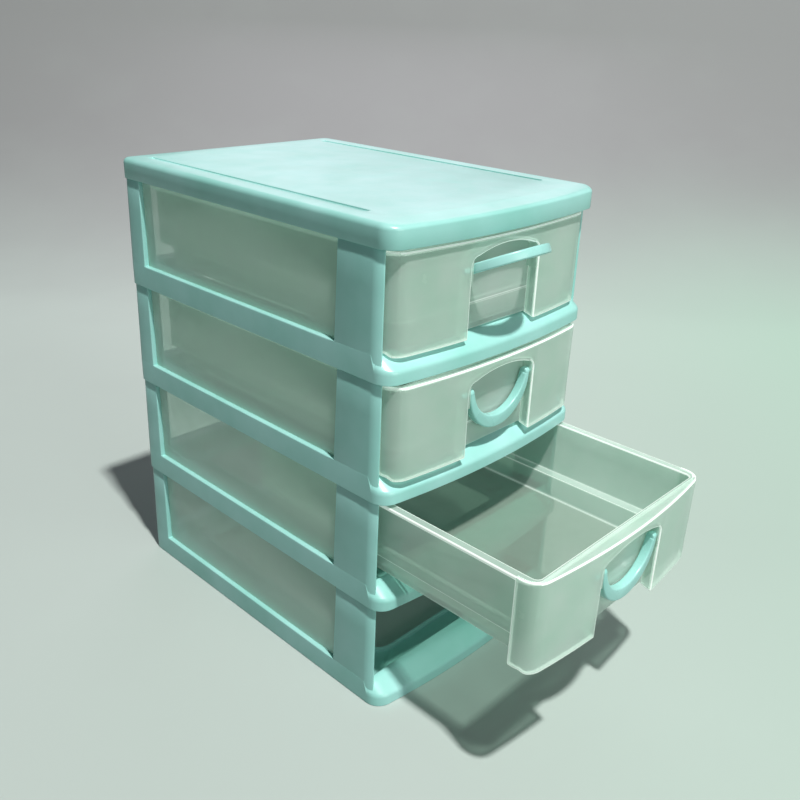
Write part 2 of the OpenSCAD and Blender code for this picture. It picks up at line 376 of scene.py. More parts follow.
@dataclass(frozen=True)
class StudioPaper:
    """The plain pale paper under and behind the object.

    Painted light brightens the floor further back, up to the foot of the backdrop.
    """

    name: str = "studio_paper"
    near: tuple[int, int, int] = (183, 194, 190)
    far: tuple[int, int, int] = (158, 160, 161)
    tinged: tuple[int, int, int] = (172, 198, 184)
    away: Plan = (0.727, 0.687)
    fade: tuple[float, float] = (0.35, 0.95)
    tinge: tuple[float, float] = (0.04, 0.42)
    # Painted light: glow and glare give where and how much the floor brightens further back.
    glow: tuple[float, float] = (0.05, 0.45)
    fibre_scale: float = 9.0
    fibre_share: float = 0.1
    glare: float = 1.18
    bounce: float = 0.68
    roughness: float = 0.75
    specular: float = 0.15

    def build(self) -> bpy.types.Material:
        """Make the material.

        Returns:
            The material.
        """
        material, graph, where = start_material(self.name)
        fibre = graph.ramp(graph.noise(where, self.fibre_scale, 4.0), 0.3, 0.7, 0.0, 1.0)
        axes = graph.add("ShaderNodeSeparateXYZ", {}, {"Vector": where})
        east, north = Value(graph, axes.outputs["X"]), Value(graph, axes.outputs["Y"])
        away = self.away[0] * east + self.away[1] * north
        step = graph.ramp(away, *self.fade, 0.0, 1.0)
        rise = step * step * (3.0 - 2.0 * step)
        colour = graph.blend(rise + (fibre - 0.5) * self.fibre_share, linear(*self.near),
                             linear(*self.far))
        aside = graph.ramp(self.away[1] * east - self.away[0] * north, *self.tinge, 0.0, 1.0)
        aside = aside * (1.0 - rise)
        colour = graph.blend(aside, colour, linear(*self.tinged))
        # Painted light: the floor's colour brightens further back, and the backdrop keeps its
        # own.
        depth = graph.ramp(away, *self.glow, 1.0, self.glare)
        seen = graph.node("ShaderNodeLightPath", output="Is Camera Ray")
        level = (self.bounce + (1.0 - self.bounce) * seen) * (depth + (1.0 - depth) * rise)
        dim = graph.node("ShaderNodeVectorMath", {"operation": "SCALE"},
                         {0: colour, "Scale": level})
        graph.shader(graph.add("ShaderNodeBsdfPrincipled", {}, {
            "Base Color": dim, "Roughness": self.roughness,
            "Specular IOR Level": self.specular}))
        return material


# ---------------------------------------------------------------- mesh helpers


def arc(centre: Plan, radius: float, start: float, end: float, steps: int) -> list[Plan]:
    """Give points along an arc.

    Args:
        centre: the arc's centre.
        radius: its radius.
        start: the first angle in degrees.
        end: the last angle in degrees.
        steps: how many steps lie between them.

    Returns:
        The points, both ends included.
    """
    angles = [math.radians(start + (end - start) * i / steps) for i in range(steps + 1)]
    return [(centre[0] + radius * math.cos(a), centre[1] + radius * math.sin(a)) for a in angles]


def along(values: Sequence[float], count: int) -> list[float]:
    """Spread count + 1 values evenly from the first given value to the last one."""
    return [values[0] + (values[-1] - values[0]) * i / count for i in range(count + 1)]


def rounded(before: Vector, corner: Vector, after: Vector, steps: int) -> list[Vector]:
    """Round a corner with a short curve.

    Args:
        before: where the curve leaves the first line.
        corner: the sharp corner.
        after: where the curve joins the second line.
        steps: how many steps the curve has.

    Returns:
        The curve's points, both ends included.
    """
    return [(1 - t) ** 2 * before + 2 * t * (1 - t) * corner + t ** 2 * after
            for t in (i / steps for i in range(steps + 1))]


def loop_of(bm: bmesh.types.BMesh, points: Iterable[Point]) -> list[bmesh.types.BMEdge]:
    """Add a closed loop of edges through the points.

    Args:
        bm: the mesh.
        points: the loop's points.

    Returns:
        The loop's edges.
    """
    verts = [bm.verts.new(point) for point in points]
    return [bm.edges.new((verts[i - 1], verts[i])) for i in range(len(verts))]


def skin_loops(bm: bmesh.types.BMesh, rows: Sequence[Iterable[Point]], joined: bool = False,
               capped: bool = False) -> None:
    """Stretch a skin over closed loops, one after the other.

    Args:
        bm: the mesh.
        rows: the points of each loop.
        joined: whether the last loop joins the first one again.
        capped: whether the first and the last loop are closed by a face.
    """
    rows = [list(row) for row in rows]
    edges = loop_of(bm, rows[0])
    verts = [edge.verts[1] for edge in edges]
    if capped:
        bmesh.ops.contextual_create(bm, geom=edges)
    for row in rows[1:] + (rows[:1] if joined else []):
        made = bmesh.ops.extrude_edge_only(bm, edges=edges)["geom"]
        fresh = {item for item in made if isinstance(item, bmesh.types.BMVert)}
        verts = [next(e.other_vert(v) for e in v.link_edges if e.other_vert(v) in fresh)
                 for v in verts]
        for vert, point in zip(verts, row):
            vert.co = point
        edges = [item for item in made if isinstance(item, bmesh.types.BMEdge)
                 and all(v in fresh for v in item.verts)]
    if capped:
        bmesh.ops.contextual_create(bm, geom=edges)


def bevel(bm: bmesh.types.BMesh, edges: Iterable[bmesh.types.BMEdge], width: float,
          segments: int = 3) -> list[bmesh.types.BMFace]:
    """Round edges.

    Args:
        bm: the mesh.
        edges: the edges to round.
        width: how far the rounding reaches.
        segments: how many faces it has.

    Returns:
        The faces of the rounding.
    """
    return bmesh.ops.bevel(bm, geom=list(edges), offset=width, affect="EDGES",
                           segments=segments, profile=0.5, material=-1,
                           clamp_overlap=True)["faces"]


def sharp_edges(bm: bmesh.types.BMesh, least: float = 40.0) -> list[bmesh.types.BMEdge]:
    """List the edges whose faces turn by more than an angle in degrees."""
    limit = math.radians(least)
    return [e for e in bm.edges if len(e.link_faces) == 2 and e.calc_face_angle() > limit]


def block(bm: bmesh.types.BMesh, low: Point, high: Point, width: float = 0.3) -> None:
    """Add a block with rounded edges.

    Args:
        bm: the mesh.
        low: the block's lowest corner.
        high: its highest corner.
        width: the rounding of its edges.
    """
    size = [b - a for a, b in zip(low, high)]
    middle = [(a + b) / 2 for a, b in zip(low, high)]
    matrix = Matrix.Translation(middle) @ Matrix.Diagonal((*size, 1))
    made = bmesh.ops.create_cube(bm, size=1.0, matrix=matrix)
    edges = {edge for vert in made["verts"] for edge in vert.link_edges}
    bevel(bm, edges, width, 2)


def rod(bm: bmesh.types.BMesh, radius: float, start: float, end: float, width: float) -> None:
    """Add a rod along X with rounded rims.

    Args:
        bm: the mesh.
        radius: the rod's radius.
        start: where it begins on X.
        end: where it ends on X.
        width: the rounding of its rims.
    """
    matrix = Matrix.Translation(((start + end) / 2, 0, 0)) @ Matrix.Rotation(math.pi / 2, 4, "Y")
    made = bmesh.ops.create_cone(bm, cap_ends=True, segments=40, radius1=radius, radius2=radius,
                                 depth=abs(end - start), matrix=matrix)
    rims = {e for v in made["verts"] for e in v.link_edges
            if abs(e.verts[0].co.x - e.verts[1].co.x) < 0.001}
    bevel(bm, rims, width, 3)


def key(point: Sequence[float], digits: int) -> tuple[float, ...]:
    """Give a point rounded to some digits, to look it up."""
    return tuple(round(value, digits) for value in point)


def face_front(bm: bmesh.types.BMesh) -> None:
    """Turn the faces of an open sheet so that together they look to the front."""
    bmesh.ops.recalc_face_normals(bm, faces=bm.faces)
    if sum(f.normal.y * f.calc_area() for f in bm.faces) > 0:
        bmesh.ops.reverse_faces(bm, faces=bm.faces)


def mirror_over(bm: bmesh.types.BMesh) -> None:
    """Add the mirrored other half of everything in the mesh, across X = 0."""
    bmesh.ops.mirror(bm, geom=bm.verts[:] + bm.edges[:] + bm.faces[:], merge_dist=0.0001,
                     axis="X")


def finish_piece(bm: bmesh.types.BMesh, name: str, body: str,
                 material: bpy.types.Material, place: Matrix, smooth: float = 34.0,
                 closed: bool = True) -> bpy.types.Object:
    """Turn a mesh in millimetres into a dressed piece that rides on a body.

    Args:
        bm: the mesh, which is freed.
        name: the piece's name.
        body: the body that it rides on.
        material: its material.
        place: where it goes, in millimetres.
        smooth: edges that turn less than this angle in degrees look smooth.
        closed: whether the normals can be worked out from the shape.

    Returns:
        The piece.
    """
    bmesh.ops.remove_doubles(bm, verts=bm.verts, dist=0.0005)
    if closed:
        bmesh.ops.recalc_face_normals(bm, faces=bm.faces)
    bm.transform(Matrix.Scale(MM, 4) @ place)
    mesh = bpy.data.meshes.new(name)
    bm.to_mesh(mesh)
    bm.free()
    mesh.shade_smooth()
    mesh.set_sharp_from_angle(angle=math.radians(smooth))
    mesh.materials.append(material)
    piece = bpy.data.objects.new(name, mesh)
    bpy.context.scene.collection.objects.link(piece)
    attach(piece, body)
    LOG.info("%s: %d faces on %s", name, len(mesh.polygons), body)
    return piece


# ---------------------------------------------------------------- the case's plan


@dataclass(frozen=True)
class CasePlan:
    """The case's outline: a bowed front, rounded corners and a straight back."""

    half_w: float = 66.0
    back_y: float = 92.0
    bow: float = 5.2
    corner_r: float = 8.0
    back_r: float = 5.0
    pitch: float = 52.6
    tiers: int = 4

    @property
    def front_y(self) -> float:
        """The front's foremost line."""
        return -self.back_y - self.bow

    @property
    def bow_r(self) -> float:
        """The radius of the bowed front."""
        return (self.half_w ** 2 + self.bow ** 2) / (2 * self.bow)

    @property
    def bow_y(self) -> float:
        """The centre of the bowed front."""
        return self.front_y + self.bow_r

    @property
    def corner(self) -> Plan:
        """The centre of the right-hand front corner."""
        x = self.half_w - self.corner_r
        return x, self.bow_y - math.sqrt((self.bow_r - self.corner_r) ** 2 - x * x)

    @property
    def meet_angle(self) -> float:
        """The angle in degrees at which the bow runs into the corner."""
        x, y = self.corner
        return math.degrees(math.atan2(y - self.bow_y, x))

    def bow_point(self, x: float, inset: float = 0.0) -> Plan:
        """Give a point of the bowed front, moved inwards by inset."""
        return x, self.bow_y - math.sqrt((self.bow_r - inset) ** 2 - x * x)

    def half_outline(self, front_steps: int = 16, corner_steps: int = 8) -> list[Plan]:
        """Give the right-hand half of the outline, from the front's middle to the back's.

        Args:
            front_steps: how many steps the bow has.
            corner_steps: how many steps each corner has.

        Returns:
            The points.
        """
        meet_x = self.corner[0] * self.bow_r / (self.bow_r - self.corner_r)
        front = [self.bow_point(x) for x in along((0.0, meet_x), front_steps)]
        turn = arc(self.corner, self.corner_r, self.meet_angle, 0.0, corner_steps)
        back = arc((self.half_w - self.back_r, self.back_y - self.back_r), self.back_r, 0.0, 90.0,
                   corner_steps)
        return front + turn[1:] + back + [(0.0, self.back_y)]

    def outline(self) -> list[Plan]:
        """Give the whole outline, counter-clockwise."""
        right = self.half_outline()
        return right + [(-x, y) for x, y in reversed(right[1:-1])]

    def tier_z(self, level: int) -> float:
        """Give the height of a tier's underside; tier 1 is the top one."""
        return (self.tiers - level) * self.pitch


# ---------------------------------------------------------------- lid


@dataclass
class Lid:
    """A shallow cap with a softly rounded top edge and a long slot along each side."""

    plan: CasePlan
    material: bpy.types.Material
    height: float = 9.6
    edge_round: float = 2.4
    skin: float = 1.5
    roof: float = 2.0
    slot_x: float = 55.0
    slot_w: float = 3.2
    slot_y: tuple[float, float] = (-69.0, 82.0)
    slot_depth: float = 0.6
    slot_round: float = 0.16
    foot_round: float = 0.25
    fall: float = 0.8
    fall_w: float = 10.0

    def crease_front(self, bm: bmesh.types.BMesh) -> set[tuple[float, ...]]:
        """Crease the flat top along the bowed front and let it fall away to the edge.

        Args:
            bm: the lid's mesh, with a single face for its top.

        Returns:
            The rounded points of the crease.
        """
        top = max(bm.faces, key=lambda f: f.calc_area() * (f.normal.z > 0.99))
        reach = self.plan.half_w - self.edge_round
        ends = [min(top.verts, key=lambda v: abs(v.co.x - side * reach)
                    + abs(v.co.y - self.plan.corner[1])) for side in (-1, 1)]
        path = [(*self.plan.bow_point(x, self.fall_w), self.height)
                for x in along((1.5 - reach, reach - 1.5), 28)]
        bmesh.utils.face_split(top, ends[0], ends[1], coords=path)
        bm.normal_update()
        path = [ends[0].co.to_tuple(), *path, ends[1].co.to_tuple()]
        front = min((f for f in bm.faces if f.normal.z > 0.99 and len(f.verts) > 40),
                    key=lambda f: f.calc_center_median().y)
        bmesh.ops.triangulate(bm, faces=[front])
        foot = self.height - self.edge_round
        crease = {key(point, 2) for point in path}
        for vert in bm.verts:
            rise = max(0.0, (vert.co.z - foot) / self.edge_round)
            ahead = (self.plan.corner[1] - vert.co.y - 1.0) / 7.0
            vert.co.z -= self.fall * rise * min(1.0, max(0.0, ahead)) \
                * (key(vert.co, 2) not in crease)
        return crease

    def cut_slots(self, bm: bmesh.types.BMesh) -> None:
        """Cut both slots into the flat top.

        Args:
            bm: the lid's mesh, with a single face for its top.
        """
        half = self.slot_w / 2
        cuts = [((side * self.slot_x + offset, 0, 0), (1, 0, 0))
                for side in (-1, 1) for offset in (-half, half)]
        cuts += [((0, y, 0), (0, 1, 0)) for y in self.slot_y]
        for point, normal in cuts:
            top = [f for f in bm.faces if f.normal.z > 0.99 and f.calc_center_median().z > 1]
            geom = top + list({e for f in top for e in f.edges}) \
                + list({v for f in top for v in f.verts})
            bmesh.ops.bisect_plane(bm, geom=geom, dist=0.001, plane_co=point, plane_no=normal)
        bm.normal_update()
        for side in (-1, 1):
            floor = [f for f in bm.faces if f.normal.z > 0.99
                     and abs(f.calc_center_median().x - side * self.slot_x) < half
                     and self.slot_y[0] < f.calc_center_median().y < self.slot_y[1]
                     and f.calc_center_median().z > self.height - 1]
            bmesh.ops.inset_region(bm, faces=floor, thickness=0.02, depth=-self.slot_depth,
                                   use_even_offset=True)

    def build(self) -> bpy.types.Object:
        """Build the lid.

        Returns:
            The piece.
        """
        bm = bmesh.new()
        bmesh.ops.contextual_create(bm, geom=loop_of(bm, [(x, y, 0.0) for x, y in
                                                          self.plan.outline()]))
        base = bm.faces[:]
        bmesh.ops.recalc_face_normals(bm, faces=base)
        raised = bmesh.ops.extrude_face_region(bm, geom=base, use_keep_orig=True)["geom"]
        top_verts = [v for v in raised if isinstance(v, bmesh.types.BMVert)]
        bmesh.ops.translate(bm, verts=top_verts, vec=(0, 0, self.height))
        bmesh.ops.recalc_face_normals(bm, faces=bm.faces)
        under = [f for f in bm.faces if f.normal.z < -0.99]
        bmesh.ops.inset_region(bm, faces=under, thickness=self.skin, use_even_offset=True)
        bmesh.ops.inset_region(bm, faces=under, thickness=0.01, depth=self.roof - self.height,
                               use_even_offset=True)
        rim = [e for e in bm.edges if all(abs(v.co.z - self.height) < 0.001 for v in e.verts)]
        bevel(bm, rim, self.edge_round, 8)
        bm.normal_update()
        crease = self.crease_front(bm)
        bm.normal_update()
        self.cut_slots(bm)
        foot = [e for e in bm.edges if all(abs(v.co.z) < 0.001 for v in e.verts)]
        bevel(bm, foot, self.foot_round, 2)
        slot_edges = [e for e in sharp_edges(bm, 60.0)
                      if min(v.co.z for v in e.verts) > self.height - 1]
        bevel(bm, slot_edges, self.slot_round, 2)
        place = Matrix.Translation((0, 0, self.plan.tiers * self.plan.pitch))
        piece = finish_piece(bm, "lid_shell", "case", self.material, place)
        back = (Matrix.Scale(MM, 4) @ place).inverted()
        for edge in piece.data.edges:
            points = [key(back @ piece.data.vertices[i].co, 2) for i in edge.vertices]
            if crease.issuperset(points):
                edge.use_edge_sharp = True
        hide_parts("lid")
        return piece


# ---------------------------------------------------------------- tier frame


@dataclass
class Station:
    """One place round a sill: the plan points that its section passes."""

    outer: Plan | Vector
    crest: Plan | Vector
    inner: Plan | Vector
    lip: Plan | Vector
    hole: Plan | Vector
    lip_z: float
    outer_round: float = 0.7
    crest_round: float = 0.5
    inner_round: float = 0.9
    hollow_z: float = 9.0
    wall: float = 2.0

    def __post_init__(self) -> None:
        """Turn the plan points into vectors."""
        for name in ("outer", "crest", "inner", "lip", "hole"):
            setattr(self, name, Vector(getattr(self, name)))


@dataclass
class TierFrame:
    """A sill with a sloped front shelf, a floor ledge round a hole, and four posts."""

    plan: CasePlan
    material: bpy.types.Material
    level: int
    sill_h: float = 11.2
    sill_w: float = 9.0
    lip_h: float = 5.5
    shelf_w: float = 8.2
    shelf_round: float = 3.4
    lip_round: float = 1.3
    skin: float = 1.5
    opening_r: float = 4.0
    bay_x: float = 63.7
    nose_r: float = 8.0
    front_post_y: float = -62.5
    ledge_z: tuple[float, float] = (2.2, 4.2)
    hole_x: float = 44.0
    hole_y: tuple[float, float] = (-69.0, 72.0)
    hole_r: float = 10.0
    hole_lip: float = 1.6
    hole_lip_z: float = 6.2
    post_r: float = 8.0
    post_wall: float = 2.0
    post_corner_y: float = -82.5
    post_wrap: float = 40.0
    post_taper: float = 1.3
    post_draft: float = 0.5
    post_foot: float = 4.0
    post_edge: float = 0.45
    back_post_y: float = 77.0
    return_x: float = 59.0
    flange_x: float = 52.0

    @property
    def inner_x(self) -> float:
        """The inner edge of the side sills."""
        return self.plan.half_w - self.sill_w

    @property
    def inner_y(self) -> float:
        """The inner edge of the front and back sills."""
        return self.plan.back_y - self.sill_w

    def hole_corner(self, front: bool, grow: float, start: float, end: float,
                    steps: int) -> list[Plan]:
        """Give points round one corner of the hole in the floor.

        Args:
            front: whether it is the front corner.
            grow: how far outside the hole's edge the points lie.
            start: the first angle in degrees.
            end: the last angle in degrees.
            steps: how many steps lie between them.

        Returns:
            The points.
        """
        y = self.hole_y[0] + self.hole_r if front else self.hole_y[1] - self.hole_r
        return arc((self.hole_x - self.hole_r, y), self.hole_r + grow, start, end, steps)

    def front_stations(self) -> list[Station]:
        """Give the stations of the sloped shelf, from its middle to its right-hand corner.

        Returns:
            The stations.
        """
        plan, steps, turns = self.plan, 16, 10
        meet_x = plan.corner[0] * plan.bow_r / (plan.bow_r - plan.corner_r)
        hole_x = self.hole_x - self.hole_r
        edge_y = self.hole_y[0]
        found = [Station(plan.bow_point(meet_x * t),
                         plan.bow_point((meet_x - 1.2) * t, self.shelf_w),
                         (58.0 * t, -self.inner_y), (hole_x * t, edge_y - self.hole_lip),
                         (hole_x * t, edge_y), self.lip_h, self.lip_round, self.shelf_round,
                         hollow_z=self.ledge_z[0])
                 for t in along((0.0, 1.0), steps)]
        lips = self.hole_corner(True, self.hole_lip, -90, -50, turns)
        holes = self.hole_corner(True, 0.0, -90, -50, turns)
        ring = arc(plan.corner, plan.corner_r, plan.meet_angle, 0.0, turns)
        for i in range(1, turns + 1):
            t = i / turns
            crest_x = meet_x - 1.2 + (plan.half_w - 0.6 - meet_x + 1.2) * t
            found.append(Station(ring[i], plan.bow_point(crest_x, self.shelf_w),
                                 (58.0 + (self.bay_x - 58.0) * t, -self.inner_y), lips[i],
                                 holes[i], self.lip_h, self.lip_round,
                                 self.shelf_round * (1 - 0.8 * t),
                                 inner_round=0.9 - 0.6 * t, hollow_z=0.3, wall=0.6))
        return found

    def side_stations(self) -> list[Station]:
        """Give the stations beside the front post and round the nose of the side sill.

        Returns:
            The stations.
        """
        edge = self.plan.half_w
        found = []
        beside = [(-83.4, -82.2), (-81.0, -80.0), (-75.0, -75.0), (-69.0, -69.0), (-64.5, -64.5)]
        lips = self.hole_corner(True, self.hole_lip, -46, -10, len(beside) - 1)
        holes = self.hole_corner(True, 0.0, -46, -10, len(beside) - 1)
        for i, (outer_y, inner_y) in enumerate(beside):
            found.append(Station((edge, outer_y), (edge - 0.9, outer_y), (self.bay_x, inner_y),
                                 lips[i], holes[i], self.sill_h, 0.04, 0.04, 0.3, 0.3, 0.4))
        turns = 10
        centre = (self.inner_x + self.nose_r, self.front_post_y + self.nose_r)
        start = 180 + math.degrees(math.acos((centre[0] - self.bay_x) / self.nose_r))
        for i, point in enumerate(arc(centre, self.nose_r, start, 180, turns)):
            t = i / turns
            y = centre[1] - self.nose_r * (1 - t)
            found.append(Station((edge, y), (edge - 0.9 - t, y), point,
                                 (self.hole_x + self.hole_lip, y), (self.hole_x, y),
                                 self.sill_h, 0.04 + 0.66 * min(1, 2 * t), 0.1 + 0.4 * t,
                                 0.3 + 0.6 * t, 0.3, 0.4 + 1.6 * t))
        return found

    def back_stations(self) -> list[Station]:
        """Give the stations from behind the nose round the back corner to the back's middle.

        Returns:
            The stations.
        """
        plan, found = self.plan, []
        for y in (-50.0, -20.0, 20.0, 58.0, 72.0, 76.4, 77.2, 82.0):
            hole_y = min(y, 58 + y / 100)
            found.append(Station((plan.half_w, y), (plan.half_w - 1.9, y),
                                 (self.inner_x, min(y, 76 + y / 100)),
                                 (self.hole_x + self.hole_lip, hole_y), (self.hole_x, hole_y),
                                 self.sill_h, 0.04 if y > 77 else 0.7))
        turns = 8
        outer = arc((plan.half_w - plan.back_r, plan.back_y - plan.back_r), plan.back_r, 0, 90,
                    turns)
        crest = arc((plan.half_w - plan.back_r, plan.back_y - plan.back_r), plan.back_r - 1.9, 0,
                    90, turns)
        inner = arc((self.inner_x - self.opening_r, self.inner_y - self.opening_r),
                    self.opening_r, 0, 90, turns)
        lips = self.hole_corner(False, self.hole_lip, 0, 90, turns)
        holes = self.hole_corner(False, 0.0, 0, 90, turns)
        found += [Station(*points, self.sill_h, 0.04)
                  for points in zip(outer, crest, inner, lips, holes)]
        for x in (51.0, 30.0, 0.0):
            hole_x = min(x, 30.0) * 0.9
            found.append(Station((x, plan.back_y), (x, plan.back_y - 1.9),
                                 (min(x, 45.0), self.inner_y),
                                 (hole_x, self.hole_y[1] + self.hole_lip),
                                 (hole_x, self.hole_y[1]), self.sill_h))
        return found

    def section(self, at: Station) -> list[Vector]:
        """Give the closed section of the sill, ledge and lip at a station.

        Args:
            at: the station.

        Returns:
            The section's points, from the outer foot over the top and back underneath.
        """
        def lift(point: Vector, z: float) -> Vector:
            """Give a plan point at a height."""
            return Vector((point.x, point.y, z))

        def toward(start: Vector, end: Vector, reach: float) -> Vector:
            """Give the point that lies reach from start on the way to end, at most 0.46 of it."""
            span = (end - start).length
            return start.lerp(end, min(reach / span, 0.46))

        inward = (at.inner - at.outer).normalized()
        outer, crest = lift(at.outer, at.lip_z), lift(at.crest, self.sill_h)
        inner = lift(at.inner, self.sill_h)
        ledge, lip_foot = lift(at.inner, self.ledge_z[1]), lift(at.lip, self.ledge_z[1])
        lip, hole = lift(at.lip, self.hole_lip_z), lift(at.hole, self.hole_lip_z)
        foot = lift(at.outer, 0.0)
        points = [lift(at.outer + inward * 0.3, 0.0), foot + Vector((0, 0, 0.3))]
        points += rounded(toward(outer, foot, at.outer_round), outer,
                          toward(outer, crest, at.outer_round), 5)
        points += rounded(toward(crest, outer, at.crest_round), crest,
                          toward(crest, inner, at.crest_round), 5)
        points += rounded(toward(inner, crest, at.inner_round), inner,
                          toward(inner, ledge, at.inner_round), 4)
        points += rounded(toward(ledge, inner, 0.5), ledge, toward(ledge, lip_foot, 0.5), 2)
        points += rounded(toward(lip_foot, ledge, 0.4), lip_foot, toward(lip_foot, lip, 0.4), 2)
        points += rounded(toward(lip, lip_foot, 0.4), lip, toward(lip, hole, 0.4), 2)
        points += rounded(toward(hole, lip, 0.4), hole, hole - Vector((0, 0, 0.4)), 2)
        points += [lift(at.hole, self.ledge_z[0]), lift(at.inner, self.ledge_z[0]),
                   lift(at.inner, 0.0)]
        inner_wall = at.inner - inward * at.wall
        outer_wall = at.outer + inward * self.skin
        points += [lift(inner_wall, 0.0), lift(inner_wall, at.hollow_z),
                   lift(outer_wall, at.hollow_z), lift(outer_wall, 0.0)]
        return points

    def sill(self, bm: bmesh.types.BMesh) -> None:
        """Add the sill with its shelf, floor ledge and hole lip.

        Args:
            bm: the frame's mesh.
        """
        stations = self.front_stations() + self.side_stations() + self.back_stations()
        right = [self.section(station) for station in stations]
        left = [[Vector((-p.x, p.y, p.z)) for p in section] for section in reversed(right[1:-1])]
        sections = right + left
        skin_loops(bm, list(zip(*sections)), joined=True)

    def post(self, bm: bmesh.types.BMesh,
             outline: Callable[[float, float], list[Plan]]) -> None:
        """Add a post from its outline.

        Args:
            bm: the frame's mesh.
            outline: gives the plan for an inward draft and a share of the height.
        """
        made = bmesh.new()
        rows = []
        for z in (self.post_foot, self.sill_h, 24.0, 38.0, self.plan.pitch):
            share = max(0.0, (z - self.sill_h) / (self.plan.pitch - self.sill_h))
            draft = 0.02 + (self.post_draft - 0.02) * share
            rows.append([(x, y, z) for x, y in outline(draft, share)])
        skin_loops(made, rows, capped=True)
        bmesh.ops.recalc_face_normals(made, faces=made.faces)
        upright = [e for e in sharp_edges(made, 50.0)
                   if abs(e.verts[0].co.z - e.verts[1].co.z) > 1]
        bevel(made, upright, self.post_edge, 3)
        rims = [e for e in sharp_edges(made, 50.0)
                if min(v.co.z for v in e.verts) > self.plan.pitch - 0.1]
        bevel(made, rims, 0.2, 2)
        mesh = bpy.data.meshes.new("post")
        made.to_mesh(mesh)
        made.free()
        bm.from_mesh(mesh)
        bpy.data.meshes.remove(mesh)

    def front_outline(self, draft: float, share: float) -> list[Plan]:
        """Give the plan of the right-hand front post.

        Args:
            draft: how far the outer face stands inside the sill's.
            share: how far up the post it is.

        Returns:
            The outline.
        """
        edge = self.plan.half_w - draft
        centre = (edge - self.post_r, self.post_corner_y)
        rear = self.front_post_y - self.post_taper * share
        outer = arc(centre, self.post_r, -self.post_wrap, 0, 12)
        inner = arc(centre, self.post_r - self.post_wall - 0.3 + draft, 0, -self.post_wrap, 12)
        return outer + [(edge, rear)] + [(inner[0][0], rear)] + inner

    def back_outline(self, draft: float, share: float) -> list[Plan]:
        """Give the plan of the right-hand back post: a channel that opens inwards.

        Args:
            draft: how far the outer faces stand inside the sill's.
            share: how far up the post it is.

        Returns:
            The outline.
        """
        edge, back = self.plan.half_w - draft, self.plan.back_y - draft
        radius, wall = self.plan.back_r, self.post_wall
        front = self.back_post_y + 0.2 * share
        outer = arc((edge - radius, back - radius), radius, 0, 90, 8)
        inner = arc((edge - radius, back - radius), radius - wall, 90, 0, 8)
        return [(self.return_x, front), (edge, front)] + outer \
            + [(self.flange_x, back), (self.flange_x, back - wall)] + inner \
            + [(edge - wall, front + wall), (self.return_x, front + wall)]

    def build(self) -> bpy.types.Object:
        """Build the tier frame.

        Returns:
            The piece.
        """
        bm = bmesh.new()
        pitch = self.plan.pitch
        self.post(bm, self.front_outline)
        self.post(bm, self.back_outline)
        block(bm, (63.1, -80.0, pitch - 3.0), (64.2, -66.0, pitch + 1.8))
        block(bm, (60.2, self.back_post_y + 0.1, pitch - 1.0), (63.7, self.back_post_y + 1.9,
                                                               pitch + 1.8))
        mirror_over(bm)
        self.sill(bm)
        place = Matrix.Translation((0, 0, self.plan.tier_z(self.level)))
        piece = finish_piece(bm, f"tier_frame_{self.level}_shell", "case",
                             self.material, place)
        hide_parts(f"tier_frame_{self.level}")
        return piece


# ---------------------------------------------------------------- side panes


@dataclass
class Pane:
    """A cloudy sheet inside one side window of a tier."""

    plan: CasePlan
    material: bpy.types.Material
    level: int
    side: str
    low: Point = (62.82, -65.45, 11.22)
    high: Point = (63.68, 76.85, 52.38)

    def build(self) -> bpy.types.Object:
        """Build the pane.

        Returns:
            The piece.
        """
        bm = bmesh.new()
        low, high = self.low, self.high
        if self.side == "left":
            low, high = (-high[0], *low[1:]), (-low[0], *high[1:])
        block(bm, low, high, 0.2)
        name = f"pane_{self.level}_{self.side}"
        place = Matrix.Translation((0, 0, self.plan.tier_z(self.level)))
        piece = finish_piece(bm, f"{name}_sheet", "case", self.material, place)
        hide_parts(name)
        return piece


# ---------------------------------------------------------------- drawer


@dataclass(frozen=True)
class TubRow:
    """One level round a drawer's tub."""

    half_x: float
    back_y: float
    radius: float
    z: float
    front_y: float
    # glow: how strongly the level's edge gets a painted highlight and painted glow.
    glow: float


